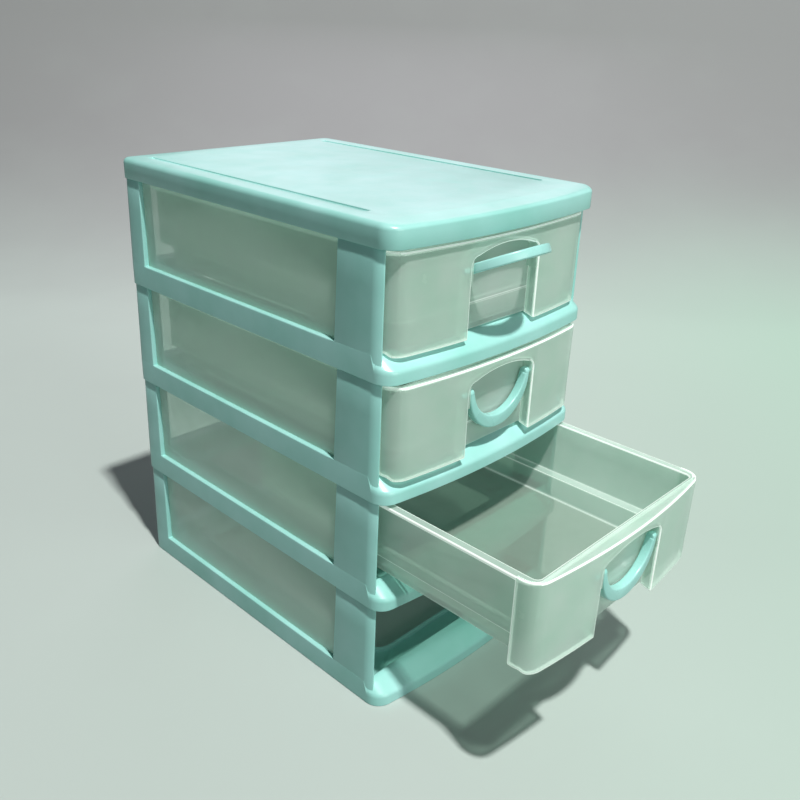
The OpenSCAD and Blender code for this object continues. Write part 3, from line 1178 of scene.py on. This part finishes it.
@dataclass
class Drawer:
    """A see-through drawer: a stepped tub with a rim, and a hollow front round a recess."""

    plan: CasePlan
    material: bpy.types.Material
    level: int
    shut_back_y: float = 76.5
    wall: float = 1.5
    tub_z: float = 11.5
    lower_x: float = 54.0
    lower_back: float = 72.0
    step_z: float = 23.0
    upper_x: float = 59.0
    upper_back: float = 75.0
    rim_x: float = 61.6
    rim_z: float = 51.0
    rim_t: float = 1.6
    tub_front: float = -89.4
    tub_r: float = 4.0
    panel_x: float = 61.7
    panel_front: float = -95.18
    panel_bow: float = 4.8
    panel_r: float = 8.0
    panel_back: float = -81.0
    panel_foot: float = 10.05
    slide_gap: float = 0.3
    panel_t: float = 1.6
    edge_round: float = 0.8
    edge_band: float = 0.7
    rim_round: float = 0.25
    foot_r: float = 2.4
    recess_x: float = 22.0
    arch_top: float = 47.1
    arch_side: float = 44.1
    arch_r: float = 4.0
    pad_t: float = 1.2
    pad_y: tuple[float, float] = (-94.3, -89.0)
    pad_z: tuple[float, float] = (32.7, 42.7)

    @property
    def body(self) -> str:
        """The body that the drawer rides on."""
        return f"drawer_{self.level}"

    @property
    def place(self) -> Matrix:
        """Where the drawer stands at rest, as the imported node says."""
        opened = self.shut_back_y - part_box(self.body)[1].y / MM
        return Matrix.Translation((0, -opened, self.plan.tier_z(self.level)))

    def tub_rows(self) -> list[TubRow]:
        """Give the levels of the tub, up its outside, over the rim and down its inside.

        Returns:
            The levels.
        """
        w, r, front = self.wall, self.tub_r, self.tub_front
        low, up, rim = self.lower_back, self.upper_back, self.shut_back_y
        under = self.rim_z - self.rim_t
        floor, step = self.tub_z + w, self.step_z + w
        # Each wall's half width, back, corner radius and front, and then each level's distance
        # outside the wall, change of radius, change of the front, height and glow, the strength
        # of a painted edge highlight and painted glow.
        walls = (
            (self.lower_x, low, r, front, (
                (-1.1, -1.1, 1.1, self.tub_z, 0.0), (-0.4, -0.4, 0.4, self.tub_z + 0.3, 0.5),
                (0.0, 0.0, 0.0, self.tub_z + 1.0, 0.0), (0.0, 0.0, 0.0, self.step_z - 0.8, 0.0),
                (0.25, 0.0, 0.0, self.step_z - 0.2, 0.4), (0.9, 0.0, 0.0, self.step_z, 0.0))),
            (self.upper_x, up, r, front, (
                (-0.8, 0.0, 0.0, self.step_z, 0.0), (-0.2, 0.0, 0.0, self.step_z + 0.25, 0.7),
                (0.0, 0.0, 0.0, self.step_z + 0.9, 0.0), (0.0, 0.0, 0.0, under - 0.5, 0.0),
                (0.4, 0.0, 0.0, under, 0.3))),
            (self.rim_x, rim, r, front, (
                (-0.25, 2.4, 0.0, under, 0.6), (0.0, 2.6, 0.0, under + 0.3, 0.9),
                (0.0, 2.6, 0.0, self.rim_z - 0.35, 1.0), (-0.35, 2.3, 0.0, self.rim_z, 1.0),
                (-0.8, 2.0, 0.0, self.rim_z, 0.0))),
            (self.upper_x - w, up - w, r - w, front + w, (
                (0.8, 0.8, -0.8, self.rim_z, 0.0), (0.35, 0.35, -0.35, self.rim_z, 0.9),
                (0.0, 0.0, 0.0, self.rim_z - 0.4, 0.9), (0.0, 0.0, 0.0, self.rim_z - 0.9, 0.0),
                (0.0, 0.0, 0.0, step + 0.8, 0.0), (-0.25, 0.0, 0.0, step + 0.2, 0.4),
                (-0.9, 0.0, 0.0, step, 0.0))),
            (self.lower_x - w, low - w, r - w, front + w, (
                (0.6, 0.0, 0.0, step, 0.0), (0.2, 0.0, 0.0, step - 0.1, 0.8),
                (0.0, 0.0, 0.0, step - 0.6, 0.0), (0.0, 0.0, 0.0, floor + 1.2, 0.0),
                (-0.4, -0.4, 0.4, floor + 0.35, 0.5), (-1.3, -1.3, 1.3, floor, 0.0))))
        return [TubRow(x + out, back + out, radius + turn, z, face + ahead, glow)
                for x, back, radius, face, levels in walls
                for out, turn, ahead, z, glow in levels]

    def build_tub(self) -> bpy.types.Object:
        """Build the tub.

        Returns:
            The piece.
        """
        bm = bmesh.new()
        # Painted highlight: each level's glow marks its edge for a paler colour and a painted
        # glow.
        layer = bm.verts.layers.float.new(EDGE_GLOW)
        rows, lit = [], {}
        for row in self.tub_rows():
            corners = [((row.half_x - row.radius, row.front_y + row.radius), -90),
                       ((row.half_x - row.radius, row.back_y - row.radius), 0),
                       ((row.radius - row.half_x, row.back_y - row.radius), 90),
                       ((row.radius - row.half_x, row.front_y + row.radius), 180)]
            points = [p for centre, start in corners
                      for p in arc(centre, row.radius, start, start + 90, 7)]
            rows.append([(x, y, row.z) for x, y in points])
            lit.update({key(point, 3): row.glow for point in rows[-1]})
        skin_loops(bm, rows, capped=True)
        # Painted shade: the floor's outer and inner faces are marked to turn darker.
        floor = bm.verts.layers.float.new(PAINTED_FLOOR_SHADE)
        levels = (rows[0][0][2], rows[-1][0][2])
        for vert in bm.verts:
            vert[layer] = lit.get(key(vert.co, 3), 0.0)
            vert[floor] = float(min(abs(vert.co.z - z) for z in levels) < 0.001)
        piece = finish_piece(bm, f"drawer_{self.level}_tub", self.body,
                             self.material, self.place, smooth=40.0)
        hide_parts(self.body)
        return piece

    def panel_bend(self) -> tuple[float, float, Plan]:
        """Work out the plan of the panel's face.

        Returns:
            The bow's radius, the angle at which it meets the corner, and the corner's centre.
        """
        radius = (self.panel_x ** 2 + self.panel_bow ** 2) / (2 * self.panel_bow)
        corner_x = self.panel_x - self.panel_r
        meet = math.asin(corner_x / (radius - self.panel_r))
        corner_y = self.panel_front + radius - (radius - self.panel_r) * math.cos(meet)
        return radius, meet, (corner_x, corner_y)

    def panel_point(self, u: float) -> Plan:
        """Bend a distance along the panel's face round its plan.

        Args:
            u: the distance from the middle, along the face.

        Returns:
            The plan point.
        """
        radius, meet, (corner_x, corner_y) = self.panel_bend()
        centre_y = self.panel_front + radius
        front, turn = radius * meet, self.panel_r * (math.pi / 2 - meet)
        side, reach = math.copysign(1, u), abs(u)
        if reach <= front:
            return u, centre_y - math.sqrt(radius ** 2 - u * u)
        if reach <= front + turn:
            angle = meet + (reach - front) / self.panel_r
            return (side * (corner_x + self.panel_r * math.sin(angle)),
                    corner_y - self.panel_r * math.cos(angle))
        return side * self.panel_x, corner_y + reach - front - turn

    def face_outline(self, reach: float) -> list[Plan]:
        """Give the panel's face laid flat: an arch-shaped recess, open below, is cut out of it.

        Args:
            reach: half of the face's width, measured along it.

        Returns:
            The outline as distances along and heights.
        """
        half, rise = self.recess_x - self.arch_r, self.arch_top - self.arch_side
        arch = (half * half + rise * rise) / (2 * rise)
        spread = math.degrees(math.asin(half / arch))
        right = [(self.recess_x, self.panel_foot), (reach - self.foot_r, self.panel_foot)]
        right += arc((reach - self.foot_r, self.panel_foot + self.foot_r), self.foot_r, -90, 0,
                     6)[1:]
        right += [(reach, self.rim_z)]
        shoulder = arc((half, self.arch_side - self.arch_r), self.arch_r, 0, 90, 6)
        top = arc((0, self.arch_top - arch), arch, 90 - spread, 90, 8)
        inside = shoulder + top[1:]
        left = [(-u, z) for u, z in reversed(right)]
        arch_left = [(-u, z) for u, z in inside[:-1]]
        return right + left + arch_left + list(reversed(inside))

    def build_front(self) -> bpy.types.Object:
        """Build the hollow front with its recess.

        Returns:
            The piece.
        """
        bm = bmesh.new()
        reach = self.face_reach()
        outline = self.face_outline(reach)
        bmesh.ops.contextual_create(bm, geom=loop_of(bm, [(u, 0.0, z) for u, z in outline]))
        cuts = along((-50.0, 50.0), 20) + [side * (53.0 + 1.1 * i) for side in (-1, 1)
                                           for i in range(14)]
        for u in cuts:
            bmesh.ops.bisect_plane(bm, geom=bm.verts[:] + bm.edges[:] + bm.faces[:], dist=0.001,
                                   plane_co=(u, 0, 0), plane_no=(1, 0, 0))
        edge = [e for e in bm.edges if e.is_boundary]
        top = [e for e in edge if all(abs(v.co.z - self.rim_z) < 0.001 for v in e.verts)]
        recess = [e for e in edge if e not in top
                  and all(abs(v.co.x) < self.recess_x + 0.001 for v in e.verts)
                  and max(v.co.z for v in e.verts) > self.panel_foot + 0.001]
        for vert in bm.verts:
            vert.co.x, vert.co.y = self.panel_point(vert.co.x)
            vert.co.z = max(vert.co.z, self.clear_z(vert.co))
        ahead = [e for e in top if max(v.co.y for v in e.verts) < self.tub_front - 0.6]
        cap = bmesh.ops.extrude_edge_only(bm, edges=ahead)["geom"]
        for vert in (v for v in cap if isinstance(v, bmesh.types.BMVert)):
            vert.co.y = self.tub_front + 0.4
        walls = bmesh.ops.extrude_edge_only(bm, edges=recess)["geom"]
        for vert in (v for v in walls if isinstance(v, bmesh.types.BMVert)):
            vert.co.y = self.tub_front
            vert.co.z = max(vert.co.z, self.clear_z(vert.co))
        bmesh.ops.remove_doubles(bm, verts=bm.verts, dist=0.0005)
        face_front(bm)
        # Painted highlight: rounded edges and the sheet's border are marked for a paler colour
        # and a painted glow.
        layer = bm.verts.layers.float.new(EDGE_GLOW)
        turned = set(bevel(bm, sharp_edges(bm, 50.0), self.edge_round, 4))
        face_front(bm)
        for vert in bm.verts:
            if turned.issuperset(vert.link_faces):
                vert[layer] = 1.0
        bmesh.ops.inset_region(bm, faces=bm.faces[:], thickness=self.edge_band,
                               use_boundary=True)
        for vert in bm.verts:
            if vert.is_boundary:
                vert[layer] = 1.0
        piece = finish_piece(bm, f"drawer_{self.level}_front", self.body,
                             self.material, self.place, smooth=40.0, closed=False)
        shell = piece.modifiers.new("wall", "SOLIDIFY")
        shell.thickness = self.panel_t * MM
        shell.offset = -1.0
        rim = piece.modifiers.new("edges", "BEVEL")
        rim.width = self.rim_round * MM
        rim.segments = 2
        rim.limit_method = "ANGLE"
        rim.angle_limit = math.radians(50)
        return piece

    def clear_z(self, point: Vector) -> float:
        """Give the lowest height at which the panel clears the shelf and the sill below it.

        Args:
            point: a point of the panel's outer face.

        Returns:
            The height.
        """
        inset = (self.plan.bow_r - math.hypot(point.x, point.y - self.plan.bow_y)
                 + self.panel_t)
        share = min(inset / TierFrame.shelf_w, 1.0)
        rise = TierFrame.sill_h - TierFrame.lip_h
        return TierFrame.lip_h + share * rise + self.slide_gap

    def face_reach(self) -> float:
        """Give half of the width of the panel's face, measured along it."""
        radius, meet, (_, corner_y) = self.panel_bend()
        return radius * meet + self.panel_r * (math.pi / 2 - meet) + self.panel_back - corner_y

    def build_pads(self) -> bpy.types.Object:
        """Build the pads that the handle's pins turn in.

        Returns:
            The piece.
        """
        bm = bmesh.new()
        block(bm, (self.recess_x - self.pad_t, self.pad_y[0], self.pad_z[0]),
              (self.recess_x + 0.05, self.pad_y[1], self.pad_z[1]), 0.3)
        mirror_over(bm)
        return finish_piece(bm, f"drawer_{self.level}_pads", self.body,
                            self.material, self.place)


# ---------------------------------------------------------------- handle


@dataclass
class Handle:
    """A swinging bail handle: a crescent with a rounded eye and a pin at each end."""

    material: bpy.types.Material
    level: int
    raised: float
    drawer: Drawer
    pivot_y: float = -92.0
    pivot_z: float = 38.4
    radius: float = 20.3
    thickness: float = 4.0
    inner_up: float = 3.4
    thin: float = 2.4
    eye_l: float = 2.5
    edge_round: float = 0.75
    steps: int = 56
    pin_r: float = 1.5
    pin_end: float = 25.0

    def build(self) -> bpy.types.Object:
        """Build the handle.

        Returns:
            The piece.
        """
        bm = bmesh.new()
        inner_r = self.radius - self.thin
        tip = math.degrees(math.asin(self.inner_up / inner_r))
        outline = arc((0, 0), self.radius, -180, 0, self.steps) \
            + arc((0, self.inner_up), inner_r, -tip, tip - 180, self.steps)
        half = self.thickness / 2
        skin_loops(bm, [[(x, y, z) for x, z in outline] for y in (-half, half)], capped=True)
        bmesh.ops.recalc_face_normals(bm, faces=bm.faces)
        bevel(bm, sharp_edges(bm, 50.0), self.edge_round, 4)
        rod(bm, half, self.radius - self.eye_l, self.radius, 0.5)
        rod(bm, half, -self.radius, self.eye_l - self.radius, 0.5)
        rod(bm, self.pin_r, self.radius - 1.0, self.pin_end, 0.3)
        rod(bm, self.pin_r, -self.pin_end, 1.0 - self.radius, 0.3)
        place = self.drawer.place @ Matrix.Translation((0, self.pivot_y, self.pivot_z)) \
            @ Matrix.Rotation(math.radians(-self.raised), 4, "X")
        piece = finish_piece(bm, f"handle_{self.level}_bail", f"handle_{self.level}",
                             self.material, place)
        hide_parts(f"handle_{self.level}")
        return piece


# ---------------------------------------------------------------- studio


@dataclass(frozen=True)
class Lamp:
    """A square lamp that shines at the object: its aim, distance, size, power and colour."""

    name: str
    travel: Point
    distance: float
    size: float
    power: float
    colour: tuple[float, float, float]
    target: Point = (0.0, 0.0, 0.1)

    def build(self) -> None:
        """Add the lamp."""
        data = bpy.data.lights.new(self.name, "AREA")
        data.size = self.size
        data.energy = self.power
        data.color = self.colour
        holder = bpy.data.objects.new(self.name, data)
        way = Vector(self.travel).normalized()
        turn = way.to_track_quat("-Z", "Y").to_matrix().to_4x4()
        holder.matrix_world = Matrix.Translation(Vector(self.target) - way * self.distance) @ turn
        bpy.context.scene.collection.objects.link(holder)


@dataclass
class Studio:
    """The floor, the backdrop, the lights and the camera."""

    paper: bpy.types.Material
    eye: Point = (-283.46, -304.96, 289.08)
    yaw: float = 46.632
    pitch: float = 23.988
    roll: float = 2.1
    lens: float = 39.463
    floor_reach: float = 5.0
    wall_reach: float = 1.2
    wall_rise: Point = (0.0, 0.5, 5.0)
    sweep: float = 0.7
    sweep_steps: int = 24
    lamps: tuple[Lamp, ...] = (
        Lamp("key", (0.12, 0.42, -1.0), 3.0, 0.12, 100.0, (1.0, 0.99, 0.96)),
        Lamp("fill", (0.08, 1.0, -0.3), 1.6, 0.8, 6.4, (1.0, 1.0, 0.98)),
        Lamp("sheen", (-0.64, -0.60, -0.56), 1.0, 0.66, 1.25, (1.0, 0.84, 1.0)))
    sky: tuple[int, int, int] = (198, 234, 234)
    sky_strength: float = 0.06
    haze: tuple[int, int, int] = (168, 172, 172)

    def camera(self) -> None:
        """Place the camera."""
        yaw, pitch, roll = (math.radians(a) for a in (self.yaw, self.pitch, self.roll))
        ahead = Vector((math.sin(yaw) * math.cos(pitch), math.cos(yaw) * math.cos(pitch),
                        -math.sin(pitch)))
        right = ahead.cross(Vector((0, 0, 1))).normalized()
        up = right.cross(ahead)
        across = math.cos(roll) * right + math.sin(roll) * up
        upward = math.cos(roll) * up - math.sin(roll) * right
        turn = Matrix((across, upward, -ahead)).transposed().to_4x4()
        data = bpy.data.cameras.new("camera")
        data.lens = self.lens
        data.sensor_width = 36.0
        data.clip_end = 50.0
        holder = bpy.data.objects.new("camera", data)
        holder.matrix_world = Matrix.Translation(Vector(self.eye) * MM) @ turn
        bpy.context.scene.collection.objects.link(holder)
        bpy.context.scene.camera = holder

    def floor(self) -> None:
        """Lay the floor and sweep it up into a backdrop that faces the camera."""
        bm = bmesh.new()
        bmesh.ops.create_grid(bm, x_segments=1, y_segments=1, size=self.floor_reach)
        far = [e for e in bm.edges if min(v.co.y for v in e.verts) > self.floor_reach - 0.1]
        bmesh.ops.translate(bm, verts=far[0].verts[:],
                            vec=(0, self.wall_reach - self.floor_reach, 0))
        lifted = bmesh.ops.extrude_edge_only(bm, edges=far)["geom"]
        bmesh.ops.translate(bm, verts=[v for v in lifted if isinstance(v, bmesh.types.BMVert)],
                            vec=self.wall_rise)
        bevel(bm, far, self.sweep, self.sweep_steps)
        bmesh.ops.rotate(bm, verts=bm.verts, cent=(0, 0, 0),
                         matrix=Matrix.Rotation(-math.radians(self.yaw), 3, "Z"))
        bmesh.ops.recalc_face_normals(bm, faces=bm.faces)
        mesh = bpy.data.meshes.new("studio_floor")
        bm.to_mesh(mesh)
        bm.free()
        mesh.shade_smooth()
        mesh.materials.append(self.paper)
        sheet = bpy.data.objects.new("studio_floor", mesh)
        bpy.context.scene.collection.objects.link(sheet)

    def lights(self) -> None:
        """Add the lamps and the sky, which looks like pale haze where the camera sees it."""
        for lamp in self.lamps:
            lamp.build()
        world = bpy.data.worlds.new("sky")
        bpy.context.scene.world = world
        world.use_nodes = True
        graph = Graph(world.node_tree)
        seen = graph.node("ShaderNodeLightPath", output="Is Camera Ray")
        light = graph.add("ShaderNodeBackground", {}, {
            "Color": graph.blend(seen, linear(*self.sky), linear(*self.haze)),
            "Strength": self.sky_strength + (1.0 - self.sky_strength) * seen})
        out = graph.add("ShaderNodeOutputWorld")
        graph.tree.links.new(light.outputs[0], out.inputs["Surface"])

    def build(self) -> None:
        """Build the whole studio."""
        self.camera()
        self.floor()
        self.lights()
        bpy.context.scene.view_settings.view_transform = "Standard"


# ---------------------------------------------------------------- assembly


@dataclass
class MiniDrawers:
    """The whole object: a lid, four tier frames with panes, and three drawers with handles."""

    plan: CasePlan = field(default_factory=CasePlan)
    raised: tuple[float, ...] = (115.0, 0.0, 0.0)

    def build(self) -> None:
        """Build every piece in order."""
        case = MintPlastic().build()
        bail = MintPlastic(name="handle_plastic", roughness=0.26).build()
        clear = ClearPlastic().build()
        pane = ClearPlastic(name="pane_plastic", pale=(238, 252, 246), deep=(226, 245, 235),
                            flat_density=0.29, roughness=0.3).build()
        Lid(self.plan, case).build()
        for level in range(1, self.plan.tiers + 1):
            TierFrame(self.plan, case, level).build()
            for side in ("left", "right"):
                Pane(self.plan, pane, level, side).build()
        for level, raised in enumerate(self.raised, start=1):
            drawer = Drawer(self.plan, clear, level)
            drawer.build_tub()
            drawer.build_front()
            drawer.build_pads()
            Handle(bail, level, raised, drawer).build()


def main() -> None:
    """Build the object and the studio."""
    logging.basicConfig(level=logging.INFO, format="%(name)s %(message)s")
    MiniDrawers().build()
    Studio(StudioPaper().build()).build()


if __name__ == "__main__":
    main()
